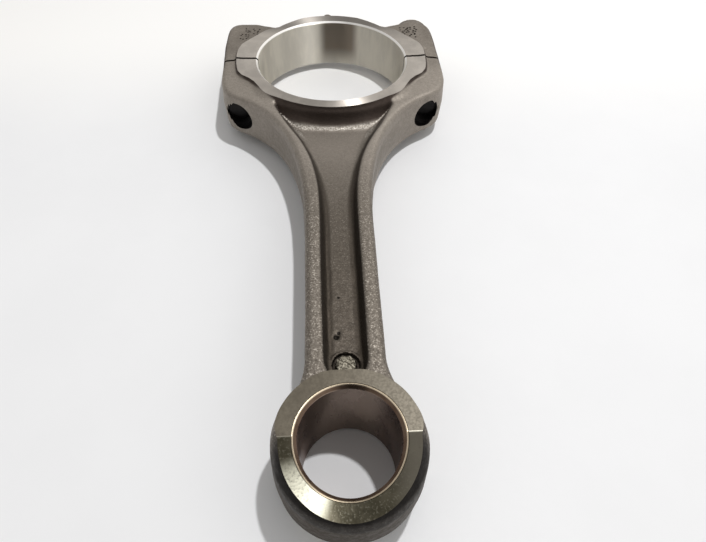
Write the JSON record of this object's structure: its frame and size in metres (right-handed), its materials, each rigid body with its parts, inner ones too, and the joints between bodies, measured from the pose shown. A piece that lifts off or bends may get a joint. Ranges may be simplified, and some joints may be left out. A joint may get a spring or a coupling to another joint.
{
  "type": "connecting rod",
  "caption": "Forged connecting rod for a small engine, with a fracture-split bearing cap held by screws and a bronze small-end bush.",
  "frame": {"origin": "centre of the big-end bore, half-way through its width", "axes": "+Z along the axis of both bores, +Y from the small end towards the bearing cap, +X across the rod"},
  "size_m": [0.0812, 0.1975, 0.022],
  "materials": {
    "forged_steel": "shot-blasted forging with machined faces",
    "cap_steel": "shot-blasted forging with machined faces",
    "bush_bronze": "bored bronze",
    "bolt_steel": "phosphated"
  },
  "bodies": {
    "rod": {"rod_body": "forged_steel", "small_end_bush": "bush_bronze"},
    "cap": {"bearing_cap": "cap_steel"},
    "left_bolt": {"cap_bolt_left": "bolt_steel"},
    "right_bolt": {"cap_bolt_right": "bolt_steel"}
  },
  "joints": [
    {"name": "cap_lift", "type": "slide", "parent": "rod", "child": "cap", "axis": [0, 1, 0], "range_m": [0, 0.02]},
    {"name": "left_bolt_turn", "type": "hinge", "parent": "cap", "child": "left_bolt", "pos_m": [-0.0332, 0, 0], "axis": [0, 1, 0], "range_deg": [0, 7201]},
    {"name": "right_bolt_turn", "type": "hinge", "parent": "cap", "child": "right_bolt", "pos_m": [0.0332, 0, 0], "axis": [0, 1, 0], "range_deg": [0, 7201]}
  ],
  "couplings": [
    {"joint": "left_bolt_turn", "follows": "cap_lift", "rad_per_m": 6283.2},
    {"joint": "right_bolt_turn", "follows": "cap_lift", "rad_per_m": 6283.2}
  ]
}
